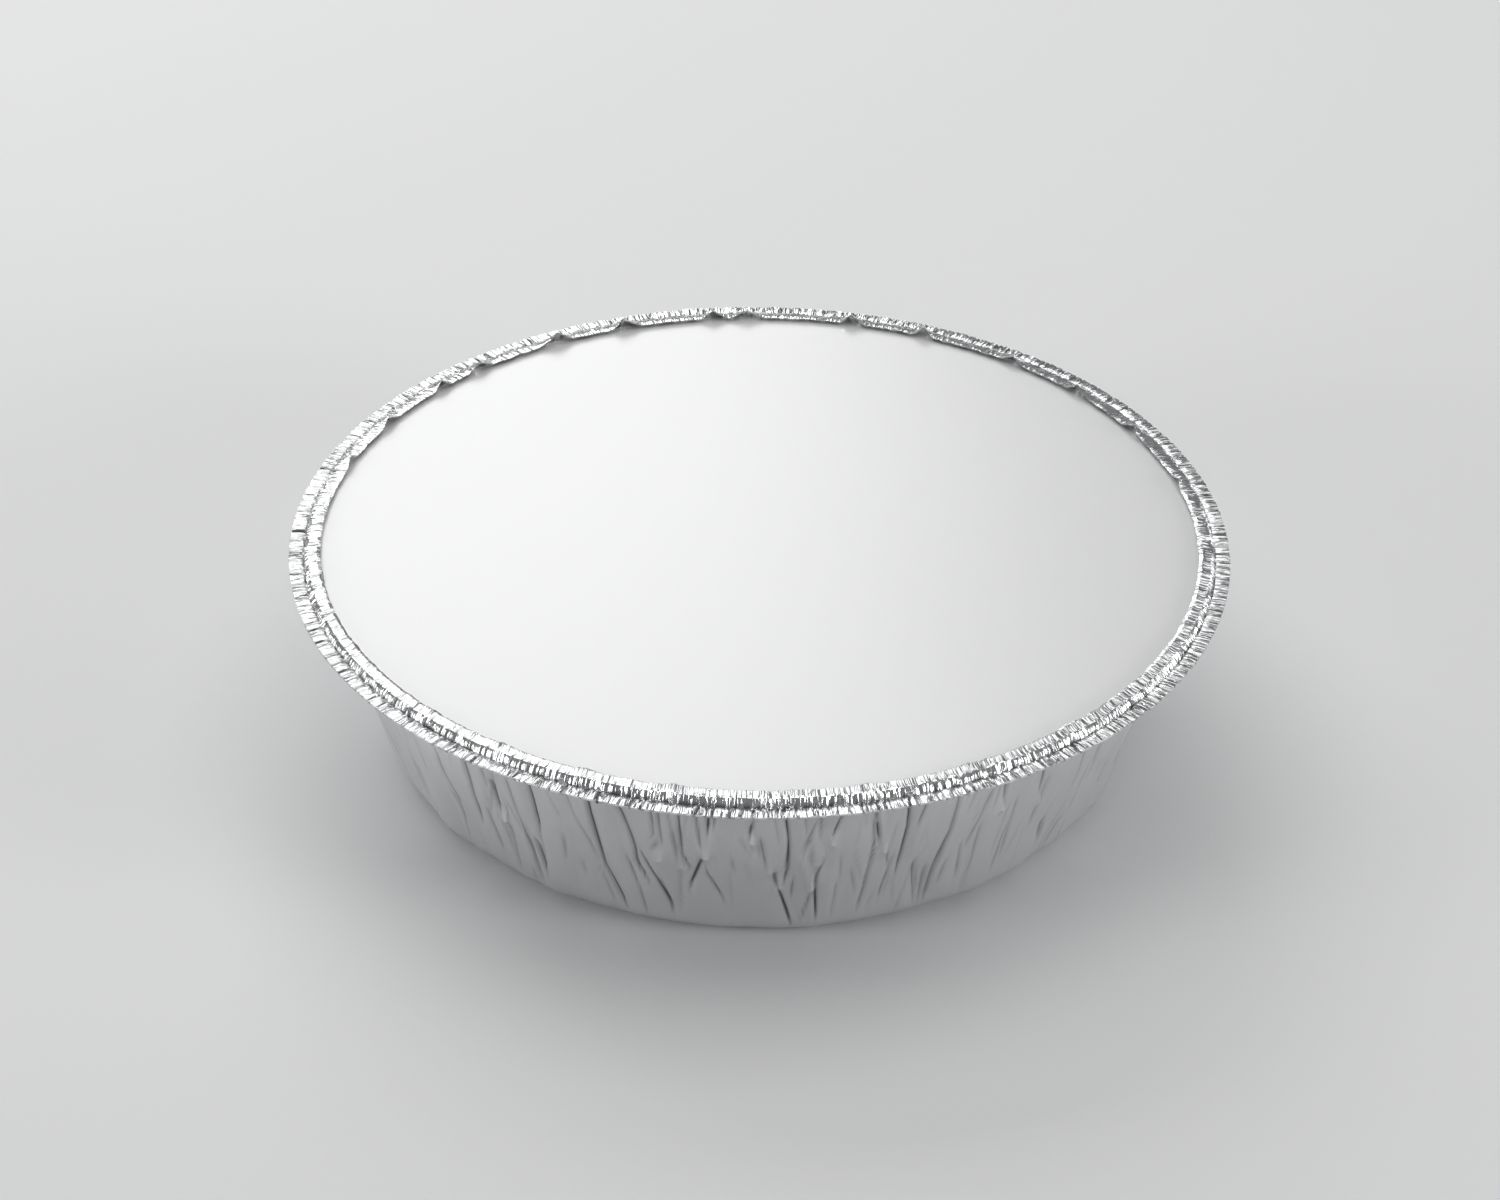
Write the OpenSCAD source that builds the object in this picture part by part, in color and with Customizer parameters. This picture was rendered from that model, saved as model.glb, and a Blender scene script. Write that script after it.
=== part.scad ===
// Round foil pie tin, closed by a flat board lid that the folded rim holds down.
// The tin is one sheet of foil. It runs from the raised centre of the base, over the
// standing ring and up the gathered wall to a ledge. At the edge of the ledge it turns
// back over itself, is pressed flat, and ends in a puckered hem on top of the lid.
// The origin is the centre of the base, on the ground, and +Z is up.

/* [Tin] */
// Diameter inside the top of the wall
mouth_d = 168.4; // [150:0.2:200]
// Diameter of the base, where the lines of its underside and of the wall would meet
base_d = 143.4; // [120:0.2:146]
// Height of the ledge's underside above the ground
ledge_h = 40.6; // [25:0.2:60]
// Radius of the corner between the base and the wall
corner_r = 6.6; // [3:0.2:9]
// Width of the flat ring that the tin stands on
stand_w = 6.5; // [3:0.5:12]
// Width of the slope between the standing ring and the raised panel
step_w = 3; // [1:0.5:6]
// Rise of the base's centre panel above the ground
panel_rise = 1.6; // [0.6:0.1:3]
// Thickness of the foil
foil_t = 0.08; // [0.06:0.01:0.15]

/* [Rim] */
// Width of the ledge, from the wall to the outer edge of the rim
ledge_w = 6.3; // [5:0.1:9]
// Width of the band that is pressed flat along the outer edge
band_w = 2.8; // [1.5:0.1:3.2]
// Height left inside the pressed fold
fold_gap = 0.3; // [0.2:0.05:0.6]
// Width of the hem, from the groove beside the lid to its inner edge
hem_w = 3.1; // [2.2:0.1:4]
// Height of the hem above the lid
hem_h = 1.4; // [0.7:0.1:2]
// Length of the foil's end that is turned under the hem
tuck_w = 1; // [0.4:0.1:1.4]

/* [Gathers] */
// Number of gathers round the wall
gather_n = 60; // [36:1:64]
// Greatest depth of a gather in the wall
gather_depth = 0.5; // [0.1:0.05:0.8]
// Width of a gather from lip to lip
gather_w = 1.2; // [0.6:0.1:1.8]
// Turn of a gather off its regular place, and its lean down the wall, in shares of the spacing
gather_wander = 0.16; // [0:0.02:0.18]
// Every so many gathers, the hem stands up in a pucker
pucker_step = 2; // [2, 3, 4]
// Lift of the hem's inner edge at the highest pucker
pucker_lift = 2; // [0.2:0.1:2.6]

/* [Lid] */
// Thickness of the board
lid_t = 0.45; // [0.3:0.05:0.8]
// Room between the edge of the lid and the foil round it
lid_clearance = 0.4; // [0.2:0.05:0.8]
// Gap under the lid, and between the lid and the hem
seat_gap = 0.04; // [0.02:0.01:0.1]

/* [Hidden] */

foil_colour = [0.7, 0.71, 0.73];
board_colour = [0.96, 0.96, 0.95];
disc_fn = 180;

mouth_r = mouth_d / 2;
base_r = base_d / 2;
rim_r = mouth_r + ledge_w;

// The wall leans out by this angle from the upright.
wall_lean = atan((mouth_r - base_r) / ledge_h);
// The corner takes this length off the base and off the wall.
corner_cut = corner_r * tan((90 - wall_lean) / 2);
stand_r = base_r - corner_cut;
panel_r = stand_r - stand_w - step_w;

// Levels of the rim, counted up from the ledge
band_z = ledge_h + 2 * foil_t + fold_gap;
groove_r = rim_r - band_w;
groove_z = ledge_h + 2 * foil_t + 1.5 * seat_gap;
lid_z = ledge_h + foil_t + seat_gap;
lid_top = lid_z + lid_t;
lid_r = groove_r - foil_t - lid_clearance;
hem_r = groove_r - hem_w;

corner_steps = 3;
wall_steps = 4;

// Random values for the gathers, each list from its own seed
turn_rand = rands(-1, 1, gather_n, 11);
lean_rand = rands(-1, 1, gather_n, 12);
depth_rand = rands(0.4, 1, gather_n, 13);
reach_rand = rands(0.35, 1, gather_n, 14);
lift_rand = rands(0.5, 1, gather_n, 15);

// Share of the wall's height over which a gather dies out
fade = 0.25;
// One gather in so many starts at the base, and the others at the ledge
base_gather_step = 3;
// Height of a pucker's two lips against its middle
lip_share = 0.7;

// The underside of the base, from the raised panel to the standing ring: radius and height
base_points = [
    [panel_r, panel_rise],
    [panel_r + step_w, 0],
    [stand_r, 0],
];

// Each further point of the foil's outer face holds its radius and height, its place on the
// wall from 0 at the base to 1 at the ledge, and its share of a gather's depth, of the
// pinch that a gather puts in the hem, and of a pucker's lift.
corner_points = [
    for (i = [1 : corner_steps])
        let (share = i / corner_steps, a = (90 - wall_lean) * share)
        [stand_r + corner_r * sin(a), corner_r * (1 - cos(a)), 0, share * share, 0, 0]
];
wall_start = corner_points[corner_steps - 1];
wall_points = [
    for (i = [1 : wall_steps])
        let (share = i / wall_steps)
        [
            wall_start[0] + (mouth_r - wall_start[0]) * share,
            wall_start[1] + (ledge_h - wall_start[1]) * share,
            share, 1, 0, 0
        ]
];
rim_points = [
    [rim_r, ledge_h, 1, 0.3, 0, 0],
    [rim_r, band_z, 1, 0.3, 0, 0],
    [groove_r, groove_z, 1, 0, 0, 0],
    [groove_r - lid_clearance, lid_top + 0.75 * hem_h, 1, 0, 0.2, 0.3],
    [groove_r - hem_w / 2, lid_top + hem_h, 1, 0, 0.3, 0.6],
    [hem_r, lid_top + 0.5 * hem_h, 1, -0.4, 0, 1],
    [hem_r + tuck_w, lid_top + seat_gap, 1, 0, 0, 0.9],
];

fine_points = concat(corner_points, wall_points, rim_points);
path = [for (p = concat(base_points, fine_points)) [p[0], p[1]]];
n_base = len(base_points);
n_fine = len(fine_points);
columns = 3 * gather_n;
skin_size = 1 + n_base * gather_n + n_fine * columns;

function unit(v) = v / norm(v);
function left(v) = [-v[1], v[0]];
function limited(x) = min(1, max(0, x));

// Step from the foil's outer face to its inner one at point i, square to the sheet
function across(i) =
    let (
        before = left(i == 0 ? [1, 0] : unit(path[i] - path[i - 1])),
        after = i == len(path) - 1 ? before : left(unit(path[i + 1] - path[i])),
        middle = unit(before + after)
    )
    foil_t * middle / (middle * before);

// Direction of gather g, which wanders from its regular place and leans down the wall
function gather_turn(g, height) =
    (g + gather_wander * (turn_rand[g] + lean_rand[g] * (1 - height))) * 360 / gather_n;

// How much of gather g there is at a height on the wall
function gather_share(g, height) =
    g % base_gather_step == 0
        ? limited((reach_rand[g] - height) / fade)
        : limited((height - 1 + reach_rand[g]) / fade);

function pucker(g, side) =
    g % pucker_step == 0 ? pucker_lift * lift_rand[g] * (side == 0 ? 1 : lip_share) : 0;

// A point of the sheet on gather g: its left lip at side -1, its fold at 0, its right lip at 1
function fine_point(i, g, side, skin) =
    let (
        p = fine_points[i],
        fold = side == 0 ? depth_rand[g] : 0,
        step = skin * across(n_base + i),
        dent = p[3] < 0 || p[2] == 1 ? fold : fold * gather_share(g, p[2]),
        r = p[0] + step[0] - p[3] * gather_depth * dent,
        z = p[1] + step[1] - p[4] * hem_h * fold + p[5] * pucker(g, side),
        a = gather_turn(g, p[2]) + side * atan(gather_w / 2 / p[0])
    )
    [r * cos(a), r * sin(a), z];

function base_point(i, g, skin) =
    let (
        step = skin * across(i),
        r = base_points[i][0] + step[0],
        a = g * 360 / gather_n
    )
    [r * cos(a), r * sin(a), base_points[i][1] + step[1]];

function skin_points(skin) = concat(
    [[0, 0, panel_rise + skin * foil_t]],
    [for (i = [0 : n_base - 1], g = [0 : gather_n - 1]) base_point(i, g, skin)],
    [for (i = [0 : n_fine - 1], g = [0 : gather_n - 1], side = [-1 : 1]) fine_point(i, g, side, skin)]
);

// Places of the points in the list: the centre, the base's rings, then the finer rings
function centre_at(skin) = skin * skin_size;
function base_at(skin, i, g) = skin * skin_size + 1 + i * gather_n + g % gather_n;
function fine_at(skin, i, c) = skin * skin_size + 1 + n_base * gather_n + i * columns + c % columns;

// The two faces of the sheet look opposite ways
function facing(skin, corners) = skin == 0 ? corners : [corners[0], corners[2], corners[1]];

function skin_faces(skin) = [
    for (g = [0 : gather_n - 1])
        facing(skin, [centre_at(skin), base_at(skin, 0, g), base_at(skin, 0, g + 1)]),
    for (i = [0 : n_base - 2], g = [0 : gather_n - 1], half = [0, 1])
        facing(skin, half == 0
            ? [base_at(skin, i, g), base_at(skin, i + 1, g), base_at(skin, i + 1, g + 1)]
            : [base_at(skin, i, g), base_at(skin, i + 1, g + 1), base_at(skin, i, g + 1)]),
    for (g = [0 : gather_n - 1], side = [0 : 2])
        facing(skin, [
            base_at(skin, n_base - 1, g),
            fine_at(skin, 0, 3 * g + side),
            fine_at(skin, 0, 3 * g + side + 1)
        ]),
    for (g = [0 : gather_n - 1])
        facing(skin, [
            base_at(skin, n_base - 1, g),
            fine_at(skin, 0, 3 * g + 3),
            base_at(skin, n_base - 1, g + 1)
        ]),
    for (i = [0 : n_fine - 2], c = [0 : columns - 1], half = [0, 1])
        facing(skin, half == 0
            ? [fine_at(skin, i, c), fine_at(skin, i + 1, c), fine_at(skin, i + 1, c + 1)]
            : [fine_at(skin, i, c), fine_at(skin, i + 1, c + 1), fine_at(skin, i, c + 1)])
];

// The cut end of the foil, under the hem
function end_faces() = [
    for (c = [0 : columns - 1], half = [0, 1])
        half == 0
            ? [fine_at(0, n_fine - 1, c), fine_at(1, n_fine - 1, c), fine_at(1, n_fine - 1, c + 1)]
            : [fine_at(0, n_fine - 1, c), fine_at(1, n_fine - 1, c + 1), fine_at(0, n_fine - 1, c + 1)]
];

module tin() {
    color(foil_colour)
        polyhedron(
            points = concat(skin_points(0), skin_points(1)),
            faces = concat(skin_faces(0), skin_faces(1), end_faces())
        );
}

module lid() {
    color(board_colour)
        translate([0, 0, lid_z])
            cylinder(h = lid_t, r = lid_r, $fn = disc_fn);
}

tin();
lid();
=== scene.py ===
import math

import bmesh
import bpy
import numpy as np
from mathutils import Matrix, Vector


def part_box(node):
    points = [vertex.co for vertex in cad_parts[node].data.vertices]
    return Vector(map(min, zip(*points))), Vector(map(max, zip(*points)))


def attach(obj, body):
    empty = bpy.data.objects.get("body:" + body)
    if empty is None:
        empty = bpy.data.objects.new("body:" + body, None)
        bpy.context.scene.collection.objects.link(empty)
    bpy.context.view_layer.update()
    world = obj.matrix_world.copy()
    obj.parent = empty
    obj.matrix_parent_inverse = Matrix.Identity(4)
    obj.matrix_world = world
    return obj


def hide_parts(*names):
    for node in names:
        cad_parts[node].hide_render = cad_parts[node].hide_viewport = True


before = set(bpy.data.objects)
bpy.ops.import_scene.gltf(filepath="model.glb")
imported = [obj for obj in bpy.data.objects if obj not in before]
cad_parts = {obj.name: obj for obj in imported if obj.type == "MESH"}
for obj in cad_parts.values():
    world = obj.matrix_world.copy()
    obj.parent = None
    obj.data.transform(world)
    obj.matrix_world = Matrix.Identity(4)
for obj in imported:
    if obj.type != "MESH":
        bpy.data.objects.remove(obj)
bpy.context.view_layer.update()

mm = 0.001

# The rim and the lid take their places from the frame, in millimetres
tinLow, tinHigh = [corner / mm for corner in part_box("tin")]
lidLow, lidHigh = [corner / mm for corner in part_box("lid")]
print("frame: rim radius", round(tinHigh.x, 2), "lid from", round(lidLow.z, 2), "to", round(lidHigh.z, 2))

# The tin is one sheet of foil. Sizes in millimetres, angles in degrees.
tinParts = {
    "foilThickness": 0.08,
    "capRadius": 12,            # flat middle of the base, one face
    "panelRise": 1.6,           # raised middle of the base
    "panelRadius": 57.1,
    "standInner": 60.1,         # flat ring that it stands on
    "baseRadius": 71.7,         # where the lines of the base and the wall meet
    "cornerRadius": 6.6,
    "mouthRadius": 84.2,
    "ledgeHeight": 40.6,
    "bandWidth": 2.8,           # pressed flat along the outer edge
    "bandThickness": 0.46,
    "hemWidth": 3.2,            # lies on the lid, inside the band
    "hemHeights": (0.8, 1.6),   # above the lid, at the back and at the front
    "sharpAngle": 32,           # edges steeper than this are shaded sharp
    # Grid
    "baseColumns": 200,
    "wallColumns": 920,
    "rimColumns": 1420,
    "wallPitch": 1.9,           # longest step between two rings of the wall
    "frontGather": 0.4,         # how far the wall's columns crowd towards the front
    "ownColumnDepth": 0.11,     # creases deeper than this get a column of their own
    "sideStep": 0.3,            # from that column to the ones beside it
    # Creases of the wall
    "creaseGain": 1.1,
    "creaseWidth": 0.45,
    "fineCreaseWidth": 0.6,
    "valleyDepth": 1.02,        # soft valley round a crease, in shares of its depth and width
    "valleyWidth": 3.6,
    "lipHeight": 0.55,
    "lipPlace": 1.9,
    "fullPaintedShadeDepth": 0.44,          # a fold this deep gets the full painted shade
    "bumpHeight": 0.75,
    "bumpWidth": 0.8,
    "bumpLength": 1.2,
    "unevenness": 6.5,
    "unevenSteps": ((3.2, 0.05), (6.5, 0.1), (15, 0.12)),  # spacing and share of each
    "ledgeSag": 0.35,           # share of the depth that is left on the ledge, and its limit
    "ledgeSagLimit": 0.3,
    # Rim
    "ribPitch": 1.05,
    "ribLift": 1.2,
    "backFlatness": 0.4,        # share of the ribs and crinkles that is lost at the back
    "lengthRadii": {"wall": 78, "hem": 86, "ribs": 87, "crinkles": 88},  # where lengths round it count
    "seed": 4,
}

# Each crease of the wall that shows at the front: azimuth and height of its points, then its depth
frontCreases = [
    ([(214, 30), (214.5, 19)], 0.30),
    ([(214, 15), (213.5, 9)], 0.34),
    ([(219, 34), (218.5, 20)], 0.12),
    ([(224, 32), (224, 20), (223, 10)], 0.34),
    ([(229, 36), (229, 27), (228, 14)], 0.30),
    ([(230, 20), (230.5, 8)], 0.22),
    ([(232.5, 29), (232.5, 20)], 0.50),
    ([(234, 24), (233.5, 10)], 0.26),
    ([(236, 34), (236, 22), (237.5, 5)], 0.24),
    ([(239.5, 38), (239.2, 20)], 0.46),
    ([(238, 17), (238.5, 8)], 0.56),
    ([(242, 36), (243.5, 26)], 0.16),
    ([(245, 38), (245.5, 28), (248, 16)], 0.16),
    ([(248, 39), (248, 26), (248.5, 15), (251, 4)], 0.50),
    ([(247.5, 14), (249, 5)], 0.22),
    ([(251.5, 38), (253.5, 23), (253.5, 18), (255, 13)], 0.46),
    ([(254, 22), (256, 14), (258, 5)], 0.38),
    ([(252, 20), (253.5, 11), (254, 4)], 0.26),
    ([(256.5, 38), (256.5, 22)], 0.26),
    ([(257.2, 38), (257.5, 24)], 0.20),
    ([(258.5, 36), (259.5, 22)], 0.18),
    ([(260, 38), (260, 22), (261, 18)], 0.36),
    ([(256.5, 15), (258, 5)], 0.22),
    ([(262, 38), (262.5, 25)], 0.36),
    ([(264, 39), (263.5, 28)], 0.46),
    ([(264.8, 38), (264.3, 29)], 0.26),
    ([(262.8, 22), (260.5, 12)], 0.56),
    ([(263, 19), (263.2, 17), (265.5, 9)], 0.30),
    ([(269.3, 33), (269, 28)], 0.46),
    ([(267.5, 29), (269, 24)], 0.18),
    ([(270.2, 29), (271.2, 20)], 0.32),
    ([(271.8, 37), (272.8, 27)], 0.14),
    ([(272, 20), (272.5, 15), (275, 3)], 0.46),
    ([(273.2, 38), (274, 28), (274.2, 19), (273.6, 14)], 0.42),
    ([(275, 16), (274.8, 10)], 0.22),
    ([(275.5, 38), (276.5, 28)], 0.16),
    ([(278, 38), (278.2, 27)], 0.28),
    ([(277.8, 33), (276, 22)], 0.22),
    ([(281.3, 38), (279.8, 27)], 0.36),
    ([(279.2, 22), (278, 16), (278.5, 5)], 0.38),
    ([(278, 14), (276.2, 4)], 0.30),
    ([(281, 15), (280.6, 5)], 0.16),
    ([(285, 39), (285.2, 32), (286.3, 24)], 0.50),
    ([(285, 32), (285.5, 23), (285, 12), (284.5, 6)], 0.30),
    ([(287.5, 22), (288, 17)], 0.28),
    ([(288.6, 20), (287.5, 8)], 0.26),
    ([(289.2, 38), (289.8, 28), (289.5, 14)], 0.40),
    ([(292, 38), (291, 28)], 0.40),
    ([(291.8, 17), (292.8, 10), (293.5, 4)], 0.28),
    ([(296.2, 38), (296.2, 24), (295.2, 14), (295, 4)], 0.34),
    ([(298, 38), (297.6, 33)], 0.46),
    ([(298.5, 20), (299.5, 9)], 0.22),
    ([(297, 16), (296.6, 9)], 0.20),
    ([(301, 24), (301.5, 8)], 0.20),
    ([(303.3, 38), (304, 27)], 0.46),
    ([(307, 26), (307, 10)], 0.18),
    ([(309.5, 38), (311, 24)], 0.36),
    ([(314.5, 15), (315.5, 8)], 0.46),
    ([(317, 36), (318, 20)], 0.16),
    ([(322, 34), (323, 18)], 0.14),
    ([(329, 18), (329, 12)], 0.42),
]

# Small bumps that a crease ends in: azimuth and height
frontBumps = [
    (257, 21), (259.8, 19), (269.5, 27.5), (271.8, 19.5), (272.8, 13.5), (280, 26), (278.4, 20.5),
    (277.6, 13), (285.6, 31), (287, 23), (263.2, 23), (303.8, 25.5), (311, 22.5), (233.5, 19),
]

# Puckers of the hem: azimuth, widths to the left and right of the tip, and lift, in millimetres
backPuckers = [
    (13.8, 4.0, 3.0, 1.2), (28.3, 3.5, 4.5, 1.4), (40.8, 3.0, 4.0, 1.4), (52.3, 3.5, 3.0, 1.4),
    (66.5, 2.6, 2.4, 1.8), (77.3, 2.4, 3.6, 1.8), (92.0, 4.0, 3.4, 1.4), (96.8, 3.0, 3.2, 1.5),
    (109.8, 2.6, 4.4, 1.8), (119.6, 5.0, 3.6, 1.9), (132.7, 4.0, 3.4, 1.4), (139.9, 2.6, 2.6, 1.4),
    (151.7, 3.4, 3.4, 1.3), (162.7, 3.4, 2.6, 1.3),
]


def sectionPath(points, rounds, pitch):
    # Points of a section, with some corners rounded into arcs and no step longer than the pitch
    points = [np.array(p, float) for p in points]
    path = [points[0]]
    for index in range(1, len(points) - 1):
        corner = points[index]
        if index not in rounds:
            path.append(corner)
            continue
        reach, segments = rounds[index]
        back, onward = [(p - corner) / np.linalg.norm(p - corner)
                        for p in (points[index - 1], points[index + 1])]
        bisector = (back + onward) / np.linalg.norm(back + onward)
        half = math.acos(float(np.clip(back @ bisector, -1, 1)))
        centre = corner + bisector * reach / math.cos(half)
        radius, sweep = reach * math.tan(half), math.pi / 2 - half
        side = (onward - back) / np.linalg.norm(onward - back)
        for turn in np.linspace(-sweep, sweep, segments + 1):
            path.append(centre + radius * (-bisector * math.cos(turn) + side * math.sin(turn)))
    path.append(points[-1])
    fine = [path[0]]
    for start, end in zip(path, path[1:]):
        steps = max(1, math.ceil(np.linalg.norm(end - start) / pitch))
        fine += [start + (end - start) * k / steps for k in range(1, steps + 1)]
    return np.array(fine)


def sectionNormals(path):
    tangents = np.gradient(path, axis=0)
    tangents /= np.linalg.norm(tangents, axis=1)[:, None]
    return np.column_stack([tangents[:, 1], -tangents[:, 0]])


def smoothStep(low, high, value):
    share = np.clip((value - low) / (high - low), 0, 1)
    return share * share * (3 - 2 * share)


def roundTrack(rng, azimuth, spacing, radius, wander=0.45):
    # A seeded line of straight stretches that runs once round the rim and closes on itself
    count = max(8, round(2 * math.pi * radius / spacing))
    knots = (np.arange(count) + rng.uniform(-wander, wander, count)) * 2 * math.pi / count
    return np.interp(azimuth, knots, rng.uniform(-1, 1, count), period=2 * math.pi)


def sheetMesh(name, places, folds=None):
    # One grid of rings and columns, closed into a round, with the painted shade of its folds as an attribute
    rings, columns = places.shape[:2]
    bm = bmesh.new()
    bmesh.ops.create_grid(bm, x_segments=columns, y_segments=rings - 1, size=1)
    mesh = bpy.data.meshes.new(name)
    bm.to_mesh(mesh)
    bm.free()
    grid = np.empty(3 * len(mesh.vertices))
    mesh.vertices.foreach_get("co", grid)
    grid = grid.reshape(-1, 3)
    column = np.rint((grid[:, 0] + 1) / 2 * columns).astype(int) % columns
    ring = np.rint((grid[:, 1] + 1) / 2 * (rings - 1)).astype(int)
    mesh.vertices.foreach_set("co", places[ring, column].ravel())
    if folds is not None:
        mesh.attributes.new("fold", "FLOAT", "POINT").data.foreach_set("value", folds[ring, column])
    return mesh


def aroundAxis(radius, height, azimuth):
    radius, height, azimuth = np.broadcast_arrays(radius, height, azimuth)
    return np.stack([radius * np.cos(azimuth), radius * np.sin(azimuth), height], axis=-1)


def azimuthGap(azimuth, centre):
    return (azimuth - centre + math.pi) % (2 * math.pi) - math.pi


def wallCreases(rng, p):
    # The creases of the seen side are listed, and the rest of the round has random ones of the same kind
    gain = p["creaseGain"]
    creases = [([(math.radians(a), z) for a, z in points], gain * depth, p["creaseWidth"])
               for points, depth in frontCreases]
    for _ in range(150):
        turn = rng.uniform(-25, 205)
        low = rng.choice([2.5, rng.uniform(8, 28)])
        high = rng.choice([40, rng.uniform(low + 5, 40)])
        lean, kink = rng.uniform(-2.2, 2.2), rng.uniform(-0.8, 0.8)
        points = [(turn, high), (turn + lean / 2 + kink, (low + high) / 2), (turn + lean, low)]
        depth = gain * rng.uniform(0.12, 0.5)
        creases.append(([(math.radians(a), z) for a, z in points], depth, p["creaseWidth"]))
    for _ in range(230):
        turn = rng.uniform(0, 360)
        low, length = rng.uniform(2, 30), rng.uniform(4, 16)
        lean = rng.normal(0, 0.12) * length
        points = [(turn, low), (turn + lean, min(low + length, 40))]
        depth = gain * rng.uniform(0.05, 0.2)
        creases.append(([(math.radians(a), z) for a, z in points], depth, p["fineCreaseWidth"]))
    return creases


def creaseColumns(p, creases, height, turns):
    # Give each sharp crease a column of its own, where it keeps its order among its neighbours
    columns = len(turns)
    pitch = 2 * math.pi / columns
    kept = []
    for points, deep, width in sorted(creases, key=lambda crease: -crease[1]):
        turnsOf, heights = zip(*sorted(points, key=lambda q: q[1]))
        track = np.interp(height, heights, turnsOf)
        low = heights[0] - (3 if heights[0] > 5 else 10)
        high = heights[-1] + (3 if heights[-1] < 36 else 10)
        alive = (height > low) & (height < high)
        middle = float(np.interp((heights[0] + heights[-1]) / 2, heights, turnsOf))
        column = int(np.argmin(np.abs(azimuthGap(turns, middle))))
        free = deep > p["ownColumnDepth"]
        for other, otherTrack, otherAlive in kept:
            apart = (column - other + columns // 2) % columns - columns // 2
            both = alive & otherAlive
            if abs(apart) < 60 and both.any():
                gaps = azimuthGap(track, otherTrack)[both] * (1 if apart > 0 else -1)
                free = free and abs(apart) > 1 and gaps.min() > 0.04 * abs(apart) * pitch
        if free:
            kept.append((column, track, alive))
    return kept


def bentColumns(p, kept, radius, turns):
    # Bend the columns of the grid along their creases, and spread the others evenly between them
    columns = len(turns)
    azimuth = np.tile(turns, (len(radius), 1))
    for k, r in enumerate(radius):
        row = sorted((column, turns[column] + azimuthGap(track[k], turns[column]))
                     for column, track, alive in kept if alive[k])
        knots = list(row)
        for i, (column, turn) in enumerate(row):
            for side in (-1, 1):
                nextColumn, nextTurn = row[(i + side) % len(row)]
                if (nextColumn - column) * side % columns > 3:
                    step = min(p["sideStep"] / r, abs(azimuthGap(nextTurn, turn)) / 3)
                    knots.append((column + side, turn + side * step))
        if knots:
            wide = sorted((column + lap * columns, turn + lap * 2 * math.pi) for column, turn in knots
                          for lap in (-1, 0, 1))
            azimuth[k] = np.interp(np.arange(columns), *zip(*wide))
    for _ in range(3):
        azimuth[1:-1] = (azimuth[:-2] + 2 * azimuth[1:-1] + azimuth[2:]) / 4
    return azimuth


def foilWall(p, path, rng):
    rings, columns = len(path), p["wallColumns"]
    turns = np.arange(columns) / columns * 2 * math.pi
    turns = turns - p["frontGather"] * np.cos(turns)
    radius, height = path[:, 0], path[:, 1]
    along = np.concatenate([[0], np.cumsum(np.linalg.norm(np.diff(path, axis=0), axis=1))])
    creases = wallCreases(rng, p)
    azimuth = bentColumns(p, creaseColumns(p, creases, height, turns), radius, turns)
    depth = np.zeros((rings, columns))
    folds = np.zeros((rings, columns))
    # Each crease is a sharp fold in a soft valley, with one lip higher than the other, and painted shade in
    # the colour along its core
    for points, deep, width in creases:
        turnsOf, heights = zip(*sorted(points, key=lambda q: q[1]))
        lip = rng.choice([-1, 1])
        fadeKnots = np.arange(-2, 46, 4.0) + rng.uniform(0, 2)
        strengths = np.interp(height, fadeKnots, rng.uniform(0.65, 1.1, len(fadeKnots)))
        ends = smoothStep(heights[0] - 1, heights[0] + 2.2, height)
        if heights[-1] < 37:
            ends = ends * (1 - smoothStep(heights[-1] - 2.2, heights[-1] + 1, height))
        share = (deep * ends * strengths)[:, None]
        gap = azimuthGap(azimuth, np.interp(height, heights, turnsOf)[:, None]) * radius[:, None]
        core = np.clip(1 - np.abs(gap) / width, 0, 1)
        valley = np.exp(-(gap / (p["valleyWidth"] * width)) ** 2)
        depth -= share * (core + p["valleyDepth"] * valley)
        depth += p["lipHeight"] * share * np.exp(-((gap - lip * p["lipPlace"] * width) / width) ** 2)
        # Painted shade along the crease's core, darker the deeper the crease
        folds = np.maximum(folds, core ** 1.4 * np.clip(share / p["fullPaintedShadeDepth"], 0, 1))
    # Small bumps at the ends of creases
    for turn, z in frontBumps:
        gap = azimuthGap(azimuth, math.radians(turn)) * radius[:, None]
        rise = height[:, None] - height[np.argmin(np.abs(height - z))]
        dome = np.exp(-((gap / p["bumpWidth"]) ** 2 + (rise / p["bumpLength"]) ** 2))
        depth += p["bumpHeight"] * dome
        # The painted shade is taken off where the bumps stand
        folds *= 1 - dome
    # Broad unevenness of the sheet
    share = smoothStep(0, 12, along) * (1 - smoothStep(along[-1] - 12, along[-1] - 5, along))
    share = share[:, None]
    for spacing, size in p["unevenSteps"]:
        for level in np.linspace(0, 1, 4):
            band = np.exp(-((along / along[-1] - level) / 0.2) ** 2)[:, None]
            track = roundTrack(rng, azimuth, spacing, p["lengthRadii"]["wall"], 0.2)
            depth += p["unevenness"] * size * band * share * track
    # On the ledge the foil only sags, because the lid lies on it
    onLedge = (radius > p["mouthRadius"] - 0.1)[:, None]
    depth = np.where(onLedge, np.minimum(p["ledgeSag"] * np.abs(depth), p["ledgeSagLimit"]), depth)
    normals = sectionNormals(path)
    r = radius[:, None] + depth * normals[:, :1]
    z = np.clip(height[:, None] + depth * normals[:, 1:], 0, p["ledgeHeight"])
    return aroundAxis(r, z, azimuth), folds


def puckerList(rng):
    # The back's puckers are listed, and the rest of the rim has smaller ones about 12 degrees apart
    puckers = list(backPuckers)
    for turn in np.arange(176, 368, 12.0):
        puckers.append((turn + rng.uniform(-3, 3), rng.uniform(2, 4), rng.uniform(2, 4),
                        rng.uniform(0.2, 0.9)))
    return puckers


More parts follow.
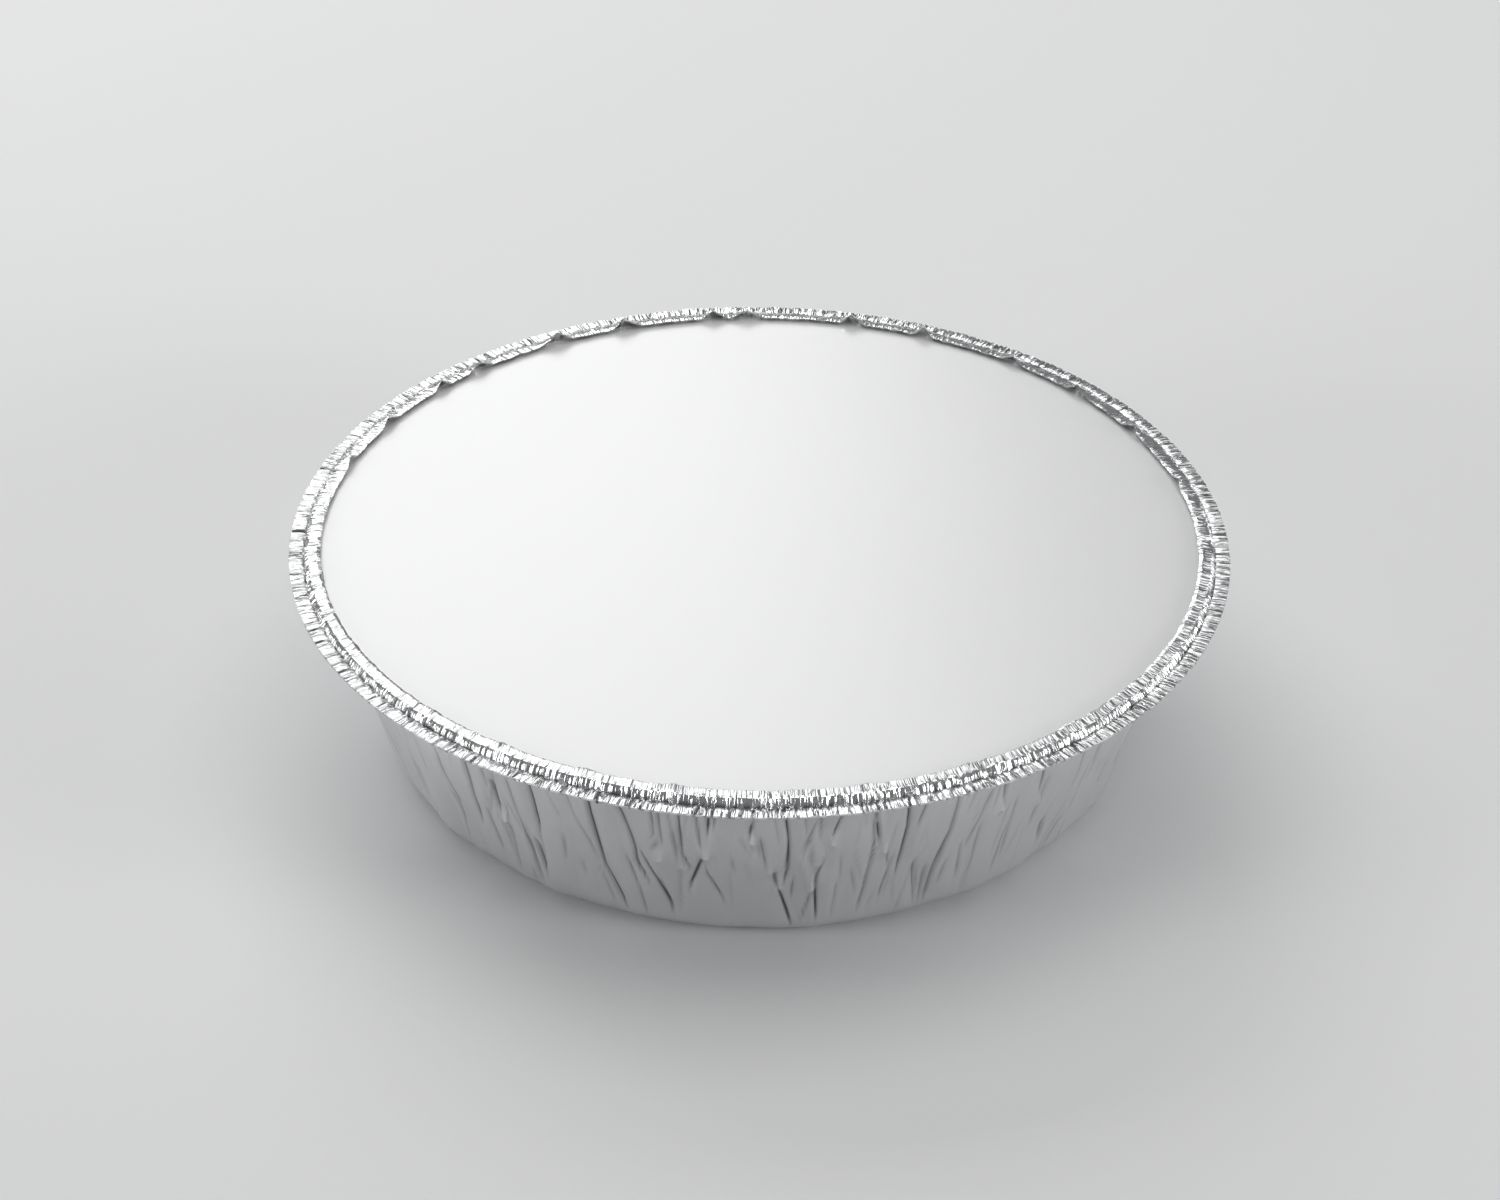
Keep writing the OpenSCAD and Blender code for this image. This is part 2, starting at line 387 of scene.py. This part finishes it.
def foilRim(p, path, shares, rng):
    rings, columns = len(path), p["rimColumns"]
    azimuth = np.tile(np.arange(columns) / columns * 2 * math.pi, (rings, 1))
    radius = np.tile(path[:, :1], (1, columns))
    height = np.tile(path[:, 1:], (1, columns))
    folds = np.zeros((rings, columns))
    groove = 6
    hemRadius, ribRadius, crinkleRadius = [p["lengthRadii"][name] for name in ("hem", "ribs", "crinkles")]
    # Towards the back the folds run slantwise over the hem, and are shallower
    backward = smoothStep(-0.1, 0.6, np.sin(azimuth[0]))
    slanted = azimuth[0] + backward * (path[:, :1] - path[groove, 0]) / hemRadius
    calm = 1 - p["backFlatness"] * backward
    # Ribs: about one a millimetre, with a step between the two rows of the hem
    count = round(2 * math.pi * ribRadius / p["ribPitch"])
    for k in range(rings):
        row = np.random.default_rng(20 if k < 10 else 21)
        knots = np.arange(2 * count) + 0.5 * row.uniform(-1, 1, 2 * count)
        peaks = np.tile([0, 1], count) * row.uniform(0.2, 1, 2 * count)
        hollowShades = np.tile([1, 0], count) * row.uniform(-0.3, 1, 2 * count).clip(0)
        along = slanted[k] / math.pi * count
        rib = (np.interp(along, knots, peaks) - 0.4) * shares["ribs"][k] * calm
        height[k] += p["ribLift"] * rib
        radius[k] += (p["ribLift"] if groove <= k < groove + 3 else 0.3) * rib
        # Painted shade in the hollows between the ribs
        folds[k] = shares["hollowShade"][k] * np.interp(along, knots, hollowShades)
    # Crinkles: seeded tracks, some shared by the whole width of the rim
    common = roundTrack(rng, azimuth[0], 1.0, crinkleRadius)
    for k in range(rings):
        if k < 12:
            own = roundTrack(rng, azimuth[0], 0.8, crinkleRadius)
            other = roundTrack(rng, azimuth[0], 1.7, crinkleRadius)
        crinkle, radial = shares["crinkle"][k] * calm, shares["radial"][k]
        height[k] += crinkle * (0.8 * np.interp(slanted[k], azimuth[0], common, period=2 * math.pi)
                                + 0.3 * own + 0.35 * other)
        radius[k] += radial * (0.6 * own + 0.5 * other)
    # Painted shade along the groove, broken where the seeded track dips
    grooveShadeTrack = roundTrack(rng, azimuth[0], 3.5, crinkleRadius) + roundTrack(rng, azimuth[0], 1.2, crinkleRadius)
    folds[groove] = 0.95 * (grooveShadeTrack > -0.4)
    folds[12:] = [[0.6], [1]]  # painted shade on the foil's end, under the hem
    # Nicks across the outer band, with painted shade in them
    nicks = np.cumsum(rng.uniform(0.8, 2.7, 500)) / crinkleRadius
    for turn in nicks[nicks < 2 * math.pi]:
        deep, lean = rng.uniform(0.3, 1), rng.choice([-0.5, 0, 0, 0.5])
        for k in range(rings):
            column = int(turn / (2 * math.pi) * columns + lean * k) % columns
            share = shares["nick"][k]
            height[k, column] -= deep * share
            radius[k, column] -= 0.6 * deep * share
            folds[k, [column, column - 1]] = np.array([1, 0.5 * deep]) * deep * min(1, share * 4)
    # Puckers of the hem
    for turn, leftWidth, rightWidth, lift in puckerList(rng):
        gap = azimuthGap(azimuth[0], math.radians(turn)) * hemRadius
        width = np.where(gap < 0, rightWidth, leftWidth)
        tent = np.clip(1 - np.abs(gap) / width, 0, 1) ** 1.25
        for k in range(rings):
            height[k] += shares["pucker"][k] * lift * tent
            radius[k] += shares["pucker"][k] * 0.35 * lift * tent
    # The hem stands higher at the front than at the back
    low, high = p["hemHeights"]
    for k in range(rings):
        share = shares["hem"][k] + backward * (shares["backHem"][k] - shares["hem"][k])
        height[k] += share * (low + (high - low) * (0.5 - 0.5 * np.sin(azimuth[0])) ** 1.8)
    return aroundAxis(np.minimum(radius, tinHigh.x + 0.15), height, azimuth), folds


def foilBlank(p):
    # Base, wall and rim each have their own number of columns, and are bridged into one sheet
    rng = np.random.default_rng(p["seed"])
    wallLean = math.atan2(p["mouthRadius"] - p["baseRadius"], p["ledgeHeight"])
    cornerCut = p["cornerRadius"] * math.tan((math.pi / 2 - wallLean) / 2)
    standOuter = p["baseRadius"] - cornerCut
    rimRadius, lidTop = tinHigh.x, lidHigh.z
    ledge, bandTop = p["ledgeHeight"], p["ledgeHeight"] + p["bandThickness"]
    groove = rimRadius - p["bandWidth"]
    nose = groove - p["hemWidth"]
    rise = p["panelRise"]
    basePath = sectionPath([(p["capRadius"], rise), (p["panelRadius"], rise), (p["standInner"], 0),
                            (standOuter - 1.6, 0)], {1: (0.8, 2), 2: (0.8, 2)}, 15)
    wallPath = sectionPath([(standOuter - 0.8, 0), (p["baseRadius"], 0), (p["mouthRadius"], ledge),
                            (groove - 1.1, ledge)], {1: (cornerCut, 6), 2: (0.5, 1)}, p["wallPitch"])
    # The hem's points are at the height of the lid, and its rise is added from the shares below
    rimPath = np.array([
        (groove - 0.4, ledge), (rimRadius - 1.3, ledge), (rimRadius, ledge + 0.06),
        (rimRadius, bandTop - 0.06), (rimRadius - 1.3, bandTop), (groove + 0.35, bandTop - 0.02),
        (groove, ledge + 0.24), (groove - 0.35, lidTop), (groove - 0.9, lidTop), (groove - 1.6, lidTop),
        (nose + 0.6, lidTop), (nose, lidTop), (nose + 0.2, lidTop), (nose + 1.2, lidTop)])
    shares = {
        "hem": [0, 0, 0, 0, 0, 0, 0, 0.35, 0.76, 0.74, 1, 0.8, 0.35, 0.15],
        "backHem": [0, 0, 0, 0, 0, 0, 0, 0.28, 0.5, 0.75, 1, 1.02, 0.6, 0.3],
        "crinkle": [0, 0.04, 0.08, 0.1, 0.12, 0.1, 0.05, 0.12, 0.14, 0.14, 0.16, 0.1, 0.05, 0],
        "radial": [0, 0, 0.12, 0.12, 0.12, 0.12, 0.12, 0.14, 0.14, 0.1, 0.12, 0.16, 0.2, 0],
        "ribs": [0, 0, 0, 0.16, 0.28, 0.22, 0.06, 0.26, 0.32, 0.16, 0.34, 0.24, 0.04, 0],
        "nick": [0, 0, 0.2, 0.3, 0.3, 0.25, 0.1, 0, 0, 0, 0, 0, 0, 0],
        "hollowShade": [0, 0, 0.5, 0.7, 0.8, 0.8, 0.8, 0.6, 0.3, 0.4, 0.5, 0.3, 0, 0],
        "pucker": [0, 0, 0, 0, 0, 0, 0.05, 0.2, 0.4, 0.5, 0.85, 1, 1, 0.95],
    }
    whole = bmesh.new()
    baseTurns = np.arange(p["baseColumns"])[None, :] / p["baseColumns"] * 2 * math.pi
    basePlaces = aroundAxis(basePath[:, :1], basePath[:, 1:], baseTurns)
    zones = [(basePlaces, np.zeros(basePlaces.shape[:2])), foilWall(p, wallPath, rng),
             foilRim(p, rimPath, shares, rng)]
    for name, (places, folds) in zip(("base", "wall", "rim"), zones):
        part = sheetMesh(name, places, folds)
        whole.from_mesh(part)
        bpy.data.meshes.remove(part)
        print("tin:", name, "has", places.shape[0], "rings of", places.shape[1])
    bmesh.ops.remove_doubles(whole, verts=whole.verts, dist=1e-5)
    # Outwards: the base's middle and edge, the wall's start, the hem's end, the ledge, the rim's start.
    # The ledge is joined to the hem's end here, and the rim's start stays open, a fault.
    loops = sorted(openLoops(whole), key=lambda loop: loop[0].verts[0].co.xy.length)
    bmesh.ops.contextual_create(whole, geom=loops[0])
    bmesh.ops.bridge_loops(whole, edges=loops[1] + loops[2])
    bmesh.ops.bridge_loops(whole, edges=loops[3] + loops[4])
    bmesh.ops.recalc_face_normals(whole, faces=whole.faces)
    middle = min(whole.faces, key=lambda face: face.calc_center_median().xy.length)
    if middle.normal.z > 0:
        bmesh.ops.reverse_faces(whole, faces=whole.faces)
    for vert in whole.verts:
        vert.co *= mm
    mesh = bpy.data.meshes.new("tin")
    whole.to_mesh(mesh)
    whole.free()
    return mesh


def openLoops(bm):
    # The open edges of the zones, as one list of edges a loop
    left = {edge for edge in bm.edges if edge.is_boundary}
    loops = []
    while left:
        loop, ends = [], [left.pop()]
        while ends:
            edge = ends.pop()
            loop.append(edge)
            beside = {e for v in edge.verts for e in v.link_edges} & left
            left -= beside
            ends += beside
        loops.append(loop)
    return loops


def newObject(name, mesh):
    thing = bpy.data.objects.new(name, mesh)
    bpy.context.scene.collection.objects.link(thing)
    return thing


def makeTin(p):
    mesh = foilBlank(p)
    tin = newObject("foilTin", mesh)
    mesh.shade_smooth()
    mesh.set_sharp_from_angle(angle=math.radians(p["sharpAngle"]))
    shell = tin.modifiers.new("sheet", "SOLIDIFY")
    shell.thickness = p["foilThickness"] * mm
    shell.offset = -1
    return tin


tin = makeTin(tinParts)
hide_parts("tin")
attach(tin, "root")
print("tin:", len(tin.data.polygons), "faces before its thickness")


# The lid is a flat disc of board
lidParts = {
    "edgeRound": 0.12,
    "capRadius": 2,             # flat middle, one face
    "waviness": 0.06,
    "waves": 7,
    "waveLengths": (60, 150),
    "columns": 240,
    "ringStep": 4,
    "sharpAngle": 40,
    "seed": 8,
}


def makeLid(p):
    rng = np.random.default_rng(p["seed"])
    r, low, high, edge = lidHigh.x, lidLow.z, lidHigh.z, p["edgeRound"]
    cap, rounds = p["capRadius"], {1: (edge, 3), 2: (edge, 3)}
    path = sectionPath([(cap, high), (r, high), (r, low), (cap, low)], rounds, p["ringStep"])
    azimuth = np.arange(p["columns"])[None, :] / p["columns"] * 2 * math.pi
    places = aroundAxis(path[:, :1], path[:, 1:], azimuth)
    x, y = places[..., 0], places[..., 1]
    wave = np.zeros_like(x)
    for _ in range(p["waves"]):
        turn, length = rng.uniform(0, math.pi), rng.uniform(*p["waveLengths"])
        phase = rng.uniform(0, 2 * math.pi)
        wave += np.sin((x * math.cos(turn) + y * math.sin(turn)) * 2 * math.pi / length + phase)
    places[..., 2] -= p["waviness"] * (wave - wave.min()) / np.ptp(wave) * (path[:, 1:] > (low + high) / 2)
    mesh = sheetMesh("lid", places)
    bm = bmesh.new()
    bm.from_mesh(mesh)
    bmesh.ops.remove_doubles(bm, verts=bm.verts, dist=1e-5)
    for loop in openLoops(bm):
        bmesh.ops.contextual_create(bm, geom=loop)
    bmesh.ops.recalc_face_normals(bm, faces=bm.faces)
    for vert in bm.verts:
        vert.co *= mm
    bm.to_mesh(mesh)
    bm.free()
    lid = newObject("boardLid", mesh)
    mesh.shade_smooth()
    mesh.set_sharp_from_angle(angle=math.radians(p["sharpAngle"]))
    return lid


lid = makeLid(lidParts)
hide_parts("lid")
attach(lid, "root")
print("lid:", len(lid.data.polygons), "faces")


def shaderMaterial(name):
    material = bpy.data.materials.new(name)
    material.use_nodes = True
    nodes, links = material.node_tree.nodes, material.node_tree.links
    return material, nodes, links, nodes["Principled BSDF"]


foilLook = {
    # The wall's colour is the rim's foil darkened by painted shade, standing in for a darker floor in its
    # reflection
    "wallColourAndPaintedShade": (0.67, 0.68, 0.69, 1),
    "rimColour": (0.9, 0.905, 0.91, 1),
    "foldShade": 0.25,          # share of the colour left at the bottom of a deep fold, as painted shade
    "metal": (0.65, 0.9),       # each of these at the wall and at the rim
    "roughness": (0.32, 0.19),
    "streakStrength": (0.08, 0.7),
    "streakDepth": 0.0011,
    "streakScale": 700 / 6.28,  # about 700 fine streaks round the tin
    "streakStretch": 0.13 / 0.085,
    "rimStart": 0.0001,         # above the ledge, where the rim's look begins and is full
    "rimFull": 0.0003,
}


def polarCoordinates(nodes, links, stretch):
    # Position on a unit circle, with height and radius together as the third coordinate
    place = nodes.new("ShaderNodeTexCoord")
    split = nodes.new("ShaderNodeSeparateXYZ")
    links.new(place.outputs["Object"], split.inputs["Vector"])
    flat = nodes.new("ShaderNodeCombineXYZ")
    links.new(split.outputs["X"], flat.inputs["X"])
    links.new(split.outputs["Y"], flat.inputs["Y"])
    length = nodes.new("ShaderNodeVectorMath")
    length.operation = "LENGTH"
    links.new(flat.outputs["Vector"], length.inputs[0])
    circle = nodes.new("ShaderNodeVectorMath")
    circle.operation = "NORMALIZE"
    links.new(flat.outputs["Vector"], circle.inputs[0])
    onCircle = nodes.new("ShaderNodeSeparateXYZ")
    links.new(circle.outputs["Vector"], onCircle.inputs["Vector"])
    total = nodes.new("ShaderNodeMath")
    total.operation = "ADD"
    links.new(length.outputs["Value"], total.inputs[0])
    links.new(split.outputs["Z"], total.inputs[1])
    scaled = nodes.new("ShaderNodeMath")
    scaled.operation = "MULTIPLY"
    scaled.inputs[1].default_value = stretch
    links.new(total.outputs["Value"], scaled.inputs[0])
    polar = nodes.new("ShaderNodeCombineXYZ")
    links.new(onCircle.outputs["X"], polar.inputs["X"])
    links.new(onCircle.outputs["Y"], polar.inputs["Y"])
    links.new(scaled.outputs["Value"], polar.inputs["Z"])
    return split, polar


def noiseNode(nodes, links, vector, scale, detail):
    noise = nodes.new("ShaderNodeTexNoise")
    noise.inputs["Scale"].default_value = scale
    noise.inputs["Detail"].default_value = detail
    links.new(vector, noise.inputs["Vector"])
    return noise


def mapRange(nodes, links, value, low, high, first, last):
    node = nodes.new("ShaderNodeMapRange")
    for name, number in zip(("From Min", "From Max", "To Min", "To Max"), (low, high, first, last)):
        node.inputs[name].default_value = number
    links.new(value, node.inputs["Value"])
    return node


def foilMaterial(look):
    material, nodes, links, shader = shaderMaterial("foil")
    split, polar = polarCoordinates(nodes, links, look["streakStretch"])
    # The rim is brighter than the wall and the base, and is told from them by its height. The darker colour
    # of the wall and the base is painted shade, for a darker floor in their reflection.
    ledge = tinParts["ledgeHeight"] * mm
    start, full = ledge + look["rimStart"], ledge + look["rimFull"]
    rimShare = mapRange(nodes, links, split.outputs["Z"], start, full, 0, 1)
    colour = nodes.new("ShaderNodeMix")
    colour.data_type = "RGBA"
    colour.inputs["A"].default_value = look["wallColourAndPaintedShade"]
    colour.inputs["B"].default_value = look["rimColour"]
    links.new(rimShare.outputs["Result"], colour.inputs["Factor"])
    # Painted shade: the attribute darkens the colour in the creases, the groove, the nicks, the rib hollows
    # and under the hem
    fold = nodes.new("ShaderNodeAttribute")
    fold.attribute_name = "fold"
    paintedShadeFactor = mapRange(nodes, links, fold.outputs["Fac"], 0, 1, 1, look["foldShade"])
    paintedShadeColour = nodes.new("ShaderNodeVectorMath")
    paintedShadeColour.operation = "SCALE"
    links.new(colour.outputs["Result"], paintedShadeColour.inputs[0])
    links.new(paintedShadeFactor.outputs["Result"], paintedShadeColour.inputs["Scale"])
    links.new(paintedShadeColour.outputs["Vector"], shader.inputs["Base Color"])
    rough = mapRange(nodes, links, rimShare.outputs["Result"], 0, 1, *look["roughness"])
    links.new(rough.outputs["Result"], shader.inputs["Roughness"])
    # Fine streaks of the sheet
    streaks = noiseNode(nodes, links, polar.outputs["Vector"], look["streakScale"], 2)
    bump = nodes.new("ShaderNodeBump")
    bump.inputs["Distance"].default_value = look["streakDepth"]
    strength = mapRange(nodes, links, rimShare.outputs["Result"], 0, 1, *look["streakStrength"])
    links.new(strength.outputs["Result"], bump.inputs["Strength"])
    links.new(streaks.outputs["Fac"], bump.inputs["Height"])
    links.new(bump.outputs["Normal"], shader.inputs["Normal"])
    metal = mapRange(nodes, links, rimShare.outputs["Result"], 0, 1, *look["metal"])
    links.new(metal.outputs["Result"], shader.inputs["Metallic"])
    return material


boardLook = {
    "colour": (0.8, 0.8, 0.8, 1),
    "gloss": 0.8,
    "coat": 1,
    "coatRoughness": 0.33,
    "roughness": 0.33,
    "fibreScale": 1200,
    "fibreStrength": 0.1,
    "fibreDepth": 0.00004,
}


def boardMaterial(look):
    material, nodes, links, shader = shaderMaterial("board")
    place = nodes.new("ShaderNodeTexCoord")
    fibre = noiseNode(nodes, links, place.outputs["Object"], look["fibreScale"], 3)
    bump = nodes.new("ShaderNodeBump")
    bump.inputs["Strength"].default_value = look["fibreStrength"]
    bump.inputs["Distance"].default_value = look["fibreDepth"]
    links.new(fibre.outputs["Fac"], bump.inputs["Height"])
    links.new(bump.outputs["Normal"], shader.inputs["Normal"])
    shader.inputs["Base Color"].default_value = look["colour"]
    shader.inputs["Specular IOR Level"].default_value = look["gloss"]
    shader.inputs["Coat Weight"].default_value = look["coat"]
    shader.inputs["Coat Roughness"].default_value = look["coatRoughness"]
    shader.inputs["Roughness"].default_value = look["roughness"]
    return material


tin.data.materials.append(foilMaterial(foilLook))
lid.data.materials.append(boardMaterial(boardLook))
print("materials: foil and board")


# Plain pale floor, in metres
floorParts = {
    "halfSize": 4,
    "colour": (0.82, 0.82, 0.82, 1),
    "roughness": 0.8,
}


def makeFloor(p):
    mesh = bpy.data.meshes.new("floor")
    bm = bmesh.new()
    bmesh.ops.create_grid(bm, x_segments=1, y_segments=1, size=p["halfSize"])
    bm.to_mesh(mesh)
    bm.free()
    material, _, _, shader = shaderMaterial("floor")
    shader.inputs["Base Color"].default_value = p["colour"]
    shader.inputs["Roughness"].default_value = p["roughness"]
    mesh.materials.append(material)
    return newObject("floor", mesh)


floor = makeFloor(floorParts)

# Camera at the photograph's viewing angle, in metres and degrees
cameraParts = {
    "lens": 100,
    "sensorWidth": 36,
    "place": (-0.00177, -0.6777, 0.4754),
    "downward": 33.506,
    "roll": 0.574,
}


def makeCamera(p):
    data = bpy.data.cameras.new("camera")
    data.lens = p["lens"]
    data.sensor_width = p["sensorWidth"]
    data.clip_start = 0.05
    camera = bpy.data.objects.new("camera", data)
    tilt, roll = math.radians(90 - p["downward"]), math.radians(p["roll"])
    turn = Matrix.Rotation(tilt, 4, "X") @ Matrix.Rotation(roll, 4, "Z")
    camera.matrix_world = Matrix.Translation(p["place"]) @ turn
    bpy.context.scene.collection.objects.link(camera)
    bpy.context.scene.camera = camera


# Name, place, aim, size, watts and roll of each lamp
lamps = [
    ("backSoftbox", (-0.50, 0.95, 0.74), (-0.50, 0.1, 0.04), (1.2, 0.66), 6.7, 12),
    ("overhead", (-0.1, 0.2, 1.3), (-0.1, 0.2, 0.03), (1.8, 1.2), 7.9, 0),
    ("left", (-1.0, -0.35, 0.28), (0, 0, 0.03), (0.4, 0.4), 3.2, 0),
    ("right", (1.0, -0.4, 0.3), (0, 0, 0.03), (0.4, 0.4), 4.2, 0),
    ("low", (1.0, 0.75, 0.22), (0, 0, 0.05), (0.7, 0.34), 1.5, 0),
]
worldParts = {"colour": (0.9, 0.92, 0.95, 1), "strength": 0.15}


def addLight(name, place, aim, size, power, roll):
    data = bpy.data.lights.new(name, "AREA")
    data.shape = "RECTANGLE"
    data.size, data.size_y = size
    data.energy = power
    light = bpy.data.objects.new(name, data)
    away = Vector(place) - Vector(aim)
    turn = away.to_track_quat("Z", "Y").to_matrix().to_4x4() @ Matrix.Rotation(math.radians(roll), 4, "Z")
    light.matrix_world = Matrix.Translation(place) @ turn
    bpy.context.scene.collection.objects.link(light)


def makeWorld(p):
    world = bpy.data.worlds.new("world")
    world.use_nodes = True
    background = world.node_tree.nodes["Background"]
    background.inputs["Color"].default_value = p["colour"]
    background.inputs["Strength"].default_value = p["strength"]
    bpy.context.scene.world = world


makeCamera(cameraParts)
for lamp in lamps:
    addLight(*lamp)
makeWorld(worldParts)
bpy.context.scene.view_settings.view_transform = "Standard"
print("camera and", len(lamps), "lamps")
